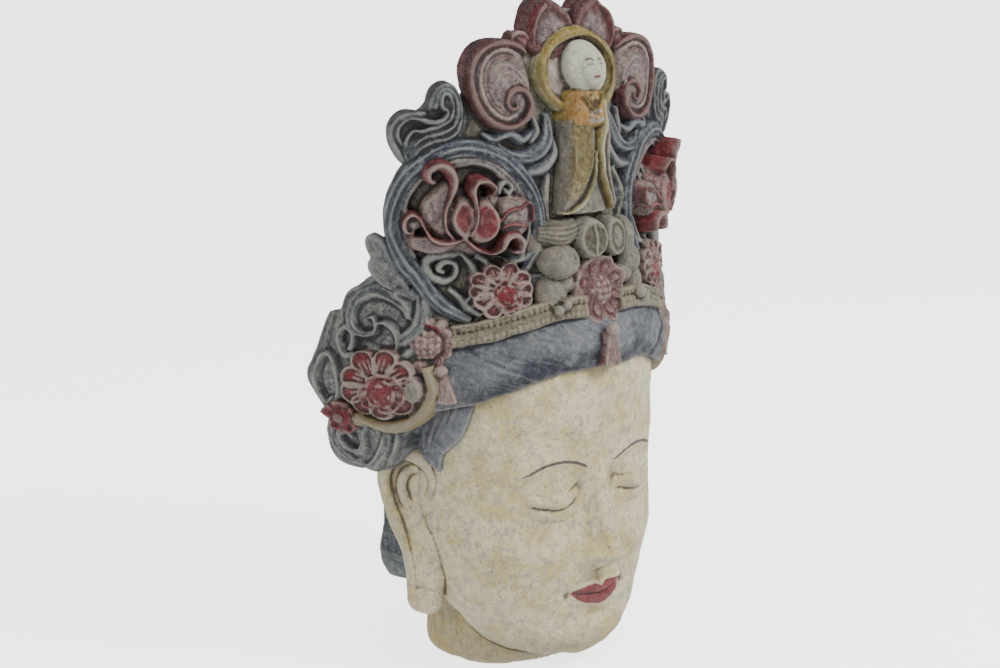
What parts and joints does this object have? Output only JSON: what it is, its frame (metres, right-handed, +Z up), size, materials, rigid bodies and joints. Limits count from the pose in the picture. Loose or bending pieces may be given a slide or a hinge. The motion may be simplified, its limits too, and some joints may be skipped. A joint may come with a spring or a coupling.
{
  "type": "buddha head sculpture",
  "caption": "Cast, painted head of a bodhisattva with long-lobed ears, a hair band and a tall carved crown; flat underside and flat back.",
  "frame": {"origin": "middle of the flat underside of the neck, on the head's left-right middle line", "axes": "+Z up the face to the top of the crown, the face looks along -Y, +Y towards the flat back, -X to the figure's right ear"},
  "size_m": [0.332, 0.1804, 0.5202],
  "materials": {
    "painted_cast_stone": "matt paint over cast stone, worn on the ridges and dark in the creases"
  },
  "bodies": {
    "root": {"buddha_head": "painted_cast_stone"}
  },
  "joints": []
}
